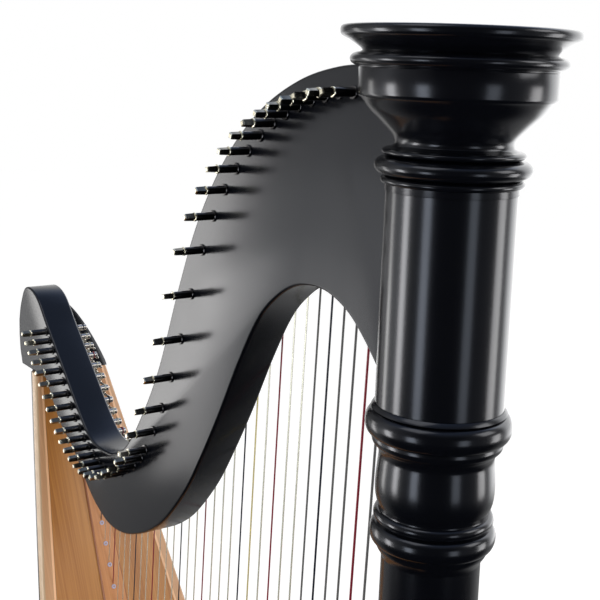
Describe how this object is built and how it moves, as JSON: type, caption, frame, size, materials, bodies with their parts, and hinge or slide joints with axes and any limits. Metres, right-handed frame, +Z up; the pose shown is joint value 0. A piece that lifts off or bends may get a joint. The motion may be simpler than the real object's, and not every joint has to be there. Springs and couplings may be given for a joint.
{
  "type": "lever harp",
  "caption": "Floor-standing lever harp: turned black column, S-curved neck with tuning pins and sharpening levers, strings, and a wooden soundbox on a footed base.",
  "frame": {"origin": "on the floor, at the middle of the harp's outline seen from above", "axes": "+Z up, +X towards the column, +Y towards the side of the neck that the strings hang on"},
  "size_m": [0.7845, 0.432, 1.664],
  "materials": {
    "black_lacquer": "gloss black lacquer",
    "soundboard_wood": "satin varnish, warm orange brown",
    "pale_maple": "satin varnish, tan",
    "centre_strip_wood": "satin varnish, reddish brown",
    "inner_spruce": "bare wood",
    "lever_nickel": "nickel plate"
  },
  "bodies": {
    "harp": {"base": "black_lacquer", "foot_rear_left": "black_lacquer", "foot_rear_right": "black_lacquer", "foot_front_left": "black_lacquer", "foot_front_right": "black_lacquer", "soundbox_shell": "black_lacquer", "soundboard": "soundboard_wood", "edge_moulding_left": "pale_maple", "edge_moulding_right": "pale_maple", "inner_string_bar": "pale_maple", "body_rib_lower": "inner_spruce", "body_rib_upper": "inner_spruce", "bottom_board": "inner_spruce", "shoulder_block": "black_lacquer", "neck": "black_lacquer", "strings": "centre_strip_wood", "column_foot": "black_lacquer", "column_vase": "black_lacquer", "column_shaft": "black_lacquer", "capital": "black_lacquer"},
    "lever_01_body": {"lever_01": "lever_nickel"},
    "lever_02_body": {"lever_02": "lever_nickel"},
    "lever_03_body": {"lever_03": "lever_nickel"},
    "lever_04_body": {"lever_04": "lever_nickel"},
    "lever_05_body": {"lever_05": "lever_nickel"},
    "lever_06_body": {"lever_06": "lever_nickel"},
    "lever_07_body": {"lever_07": "lever_nickel"},
    "lever_08_body": {"lever_08": "lever_nickel"},
    "lever_09_body": {"lever_09": "lever_nickel"},
    "lever_10_body": {"lever_10": "lever_nickel"},
    "lever_11_body": {"lever_11": "lever_nickel"},
    "lever_12_body": {"lever_12": "lever_nickel"},
    "lever_13_body": {"lever_13": "lever_nickel"},
    "lever_14_body": {"lever_14": "lever_nickel"},
    "lever_15_body": {"lever_15": "lever_nickel"},
    "lever_16_body": {"lever_16": "lever_nickel"},
    "lever_17_body": {"lever_17": "lever_nickel"},
    "lever_18_body": {"lever_18": "lever_nickel"},
    "lever_19_body": {"lever_19": "lever_nickel"},
    "lever_20_body": {"lever_20": "lever_nickel"},
    "lever_21_body": {"lever_21": "lever_nickel"},
    "lever_22_body": {"lever_22": "lever_nickel"},
    "lever_23_body": {"lever_23": "lever_nickel"},
    "lever_24_body": {"lever_24": "lever_nickel"},
    "lever_25_body": {"lever_25": "lever_nickel"},
    "lever_26_body": {"lever_26": "lever_nickel"},
    "lever_27_body": {"lever_27": "lever_nickel"},
    "lever_28_body": {"lever_28": "lever_nickel"},
    "lever_29_body": {"lever_29": "lever_nickel"},
    "lever_30_body": {"lever_30": "lever_nickel"},
    "lever_31_body": {"lever_31": "lever_nickel"},
    "lever_32_body": {"lever_32": "lever_nickel"},
    "lever_33_body": {"lever_33": "lever_nickel"},
    "lever_34_body": {"lever_34": "lever_nickel"},
    "lever_35_body": {"lever_35": "lever_nickel"},
    "lever_36_body": {"lever_36": "lever_nickel"},
    "lever_37_body": {"lever_37": "lever_nickel"},
    "lever_38_body": {"lever_38": "lever_nickel"},
    "lever_39_body": {"lever_39": "lever_nickel"},
    "lever_40_body": {"lever_40": "lever_nickel"}
  },
  "joints": [
    {"name": "lever_01_turn", "type": "hinge", "parent": "harp", "child": "lever_01_body", "pos_m": [-0.29897, 0.007, 1.3188], "axis": [0.9992, 0, -0.0389], "range_deg": [0, 85]},
    {"name": "lever_02_turn", "type": "hinge", "parent": "harp", "child": "lever_02_body", "pos_m": [-0.29, 0.007, 1.31029], "axis": [0.9992, 0, -0.0389], "range_deg": [0, 85]},
    {"name": "lever_03_turn", "type": "hinge", "parent": "harp", "child": "lever_03_body", "pos_m": [-0.2808, 0.007, 1.30156], "axis": [0.9992, 0, -0.0389], "range_deg": [0, 85]},
    {"name": "lever_04_turn", "type": "hinge", "parent": "harp", "child": "lever_04_body", "pos_m": [-0.27137, 0.007, 1.29253], "axis": [0.9992, 0, -0.0389], "range_deg": [0, 85]},
    {"name": "lever_05_turn", "type": "hinge", "parent": "harp", "child": "lever_05_body", "pos_m": [-0.26172, 0.007, 1.28312], "axis": [0.9992, 0, -0.0389], "range_deg": [0, 85]},
    {"name": "lever_06_turn", "type": "hinge", "parent": "harp", "child": "lever_06_body", "pos_m": [-0.25188, 0.007, 1.27286], "axis": [0.9992, 0, -0.0389], "range_deg": [0, 85]},
    {"name": "lever_07_turn", "type": "hinge", "parent": "harp", "child": "lever_07_body", "pos_m": [-0.24184, 0.007, 1.26143], "axis": [0.9992, 0, -0.0389], "range_deg": [0, 85]},
    {"name": "lever_08_turn", "type": "hinge", "parent": "harp", "child": "lever_08_body", "pos_m": [-0.23157, 0.007, 1.24993], "axis": [0.9992, 0, -0.0389], "range_deg": [0, 85]},
    {"name": "lever_09_turn", "type": "hinge", "parent": "harp", "child": "lever_09_body", "pos_m": [-0.22103, 0.007, 1.23936], "axis": [0.9992, 0, -0.0389], "range_deg": [0, 85]},
    {"name": "lever_10_turn", "type": "hinge", "parent": "harp", "child": "lever_10_body", "pos_m": [-0.2102, 0.007, 1.23008], "axis": [0.9992, 0, -0.0389], "range_deg": [0, 85]},
    {"name": "lever_11_turn", "type": "hinge", "parent": "harp", "child": "lever_11_body", "pos_m": [-0.19909, 0.007, 1.2219], "axis": [0.9992, 0, -0.0389], "range_deg": [0, 85]},
    {"name": "lever_12_turn", "type": "hinge", "parent": "harp", "child": "lever_12_body", "pos_m": [-0.18772, 0.007, 1.21469], "axis": [0.9992, 0, -0.0389], "range_deg": [0, 85]},
    {"name": "lever_13_turn", "type": "hinge", "parent": "harp", "child": "lever_13_body", "pos_m": [-0.17607, 0.007, 1.2084], "axis": [0.9992, 0, -0.0389], "range_deg": [0, 85]},
    {"name": "lever_14_turn", "type": "hinge", "parent": "harp", "child": "lever_14_body", "pos_m": [-0.16413, 0.007, 1.20348], "axis": [0.9992, 0, -0.0389], "range_deg": [0, 85]},
    {"name": "lever_15_turn", "type": "hinge", "parent": "harp", "child": "lever_15_body", "pos_m": [-0.15189, 0.007, 1.20034], "axis": [0.9992, 0, -0.0389], "range_deg": [0, 85]},
    {"name": "lever_16_turn", "type": "hinge", "parent": "harp", "child": "lever_16_body", "pos_m": [-0.13934, 0.007, 1.19901], "axis": [0.9992, 0, -0.0389], "range_deg": [0, 85]},
    {"name": "lever_17_turn", "type": "hinge", "parent": "harp", "child": "lever_17_body", "pos_m": [-0.12649, 0.007, 1.19941], "axis": [0.9992, 0, -0.0389], "range_deg": [0, 85]},
    {"name": "lever_18_turn", "type": "hinge", "parent": "harp", "child": "lever_18_body", "pos_m": [-0.1133, 0.007, 1.2024], "axis": [0.9992, 0, -0.0389], "range_deg": [0, 85]},
    {"name": "lever_19_turn", "type": "hinge", "parent": "harp", "child": "lever_19_body", "pos_m": [-0.09976, 0.007, 1.20843], "axis": [0.9992, 0, -0.0389], "range_deg": [0, 85]},
    {"name": "lever_20_turn", "type": "hinge", "parent": "harp", "child": "lever_20_body", "pos_m": [-0.08598, 0.007, 1.21468], "axis": [0.9992, 0, -0.0389], "range_deg": [0, 85]},
    {"name": "lever_21_turn", "type": "hinge", "parent": "harp", "child": "lever_21_body", "pos_m": [-0.07182, 0.007, 1.22438], "axis": [0.9992, 0, -0.0389], "range_deg": [0, 85]},
    {"name": "lever_22_turn", "type": "hinge", "parent": "harp", "child": "lever_22_body", "pos_m": [-0.0575, 0.007, 1.23252], "axis": [0.9992, 0, -0.0389], "range_deg": [0, 85]},
    {"name": "lever_23_turn", "type": "hinge", "parent": "harp", "child": "lever_23_body", "pos_m": [-0.04249, 0.007, 1.25201], "axis": [0.9992, 0, -0.0389], "range_deg": [0, 85]},
    {"name": "lever_24_turn", "type": "hinge", "parent": "harp", "child": "lever_24_body", "pos_m": [-0.02711, 0.007, 1.27531], "axis": [0.9992, 0, -0.0389], "range_deg": [0, 85]},
    {"name": "lever_25_turn", "type": "hinge", "parent": "harp", "child": "lever_25_body", "pos_m": [-0.01124, 0.007, 1.30481], "axis": [0.9992, 0, -0.0389], "range_deg": [0, 85]},
    {"name": "lever_26_turn", "type": "hinge", "parent": "harp", "child": "lever_26_body", "pos_m": [0.00506, 0.007, 1.33954], "axis": [0.9992, 0, -0.0389], "range_deg": [0, 85]},
    {"name": "lever_27_turn", "type": "hinge", "parent": "harp", "child": "lever_27_body", "pos_m": [0.02177, 0.007, 1.37859], "axis": [0.9992, 0, -0.0389], "range_deg": [0, 85]},
    {"name": "lever_28_turn", "type": "hinge", "parent": "harp", "child": "lever_28_body", "pos_m": [0.03862, 0.007, 1.41527], "axis": [0.9992, 0, -0.0389], "range_deg": [0, 85]},
    {"name": "lever_29_turn", "type": "hinge", "parent": "harp", "child": "lever_29_body", "pos_m": [0.05534, 0.007, 1.44263], "axis": [0.9992, 0, -0.0389], "range_deg": [0, 85]},
    {"name": "lever_30_turn", "type": "hinge", "parent": "harp", "child": "lever_30_body", "pos_m": [0.07203, 0.007, 1.46296], "axis": [0.9992, 0, -0.0389], "range_deg": [0, 85]},
    {"name": "lever_31_turn", "type": "hinge", "parent": "harp", "child": "lever_31_body", "pos_m": [0.08855, 0.007, 1.47858], "axis": [0.9992, 0, -0.0389], "range_deg": [0, 85]},
    {"name": "lever_32_turn", "type": "hinge", "parent": "harp", "child": "lever_32_body", "pos_m": [0.10495, 0.007, 1.49121], "axis": [0.9992, 0, -0.0389], "range_deg": [0, 85]},
    {"name": "lever_33_turn", "type": "hinge", "parent": "harp", "child": "lever_33_body", "pos_m": [0.12127, 0.007, 1.50163], "axis": [0.9992, 0, -0.0389], "range_deg": [0, 85]},
    {"name": "lever_34_turn", "type": "hinge", "parent": "harp", "child": "lever_34_body", "pos_m": [0.13749, 0.007, 1.50963], "axis": [0.9992, 0, -0.0389], "range_deg": [0, 85]},
    {"name": "lever_35_turn", "type": "hinge", "parent": "harp", "child": "lever_35_body", "pos_m": [0.15362, 0.007, 1.51513], "axis": [0.9992, 0, -0.0389], "range_deg": [0, 85]},
    {"name": "lever_36_turn", "type": "hinge", "parent": "harp", "child": "lever_36_body", "pos_m": [0.16969, 0.007, 1.51914], "axis": [0.9992, 0, -0.0389], "range_deg": [0, 85]},
    {"name": "lever_37_turn", "type": "hinge", "parent": "harp", "child": "lever_37_body", "pos_m": [0.18571, 0.007, 1.5219], "axis": [0.9992, 0, -0.0389], "range_deg": [0, 85]},
    {"name": "lever_38_turn", "type": "hinge", "parent": "harp", "child": "lever_38_body", "pos_m": [0.20168, 0.007, 1.52348], "axis": [0.9992, 0, -0.0389], "range_deg": [0, 85]},
    {"name": "lever_39_turn", "type": "hinge", "parent": "harp", "child": "lever_39_body", "pos_m": [0.21763, 0.007, 1.52445], "axis": [0.9992, 0, -0.0389], "range_deg": [0, 85]},
    {"name": "lever_40_turn", "type": "hinge", "parent": "harp", "child": "lever_40_body", "pos_m": [0.23351, 0.007, 1.52352], "axis": [0.9992, 0, -0.0389], "range_deg": [0, 85]}
  ]
}
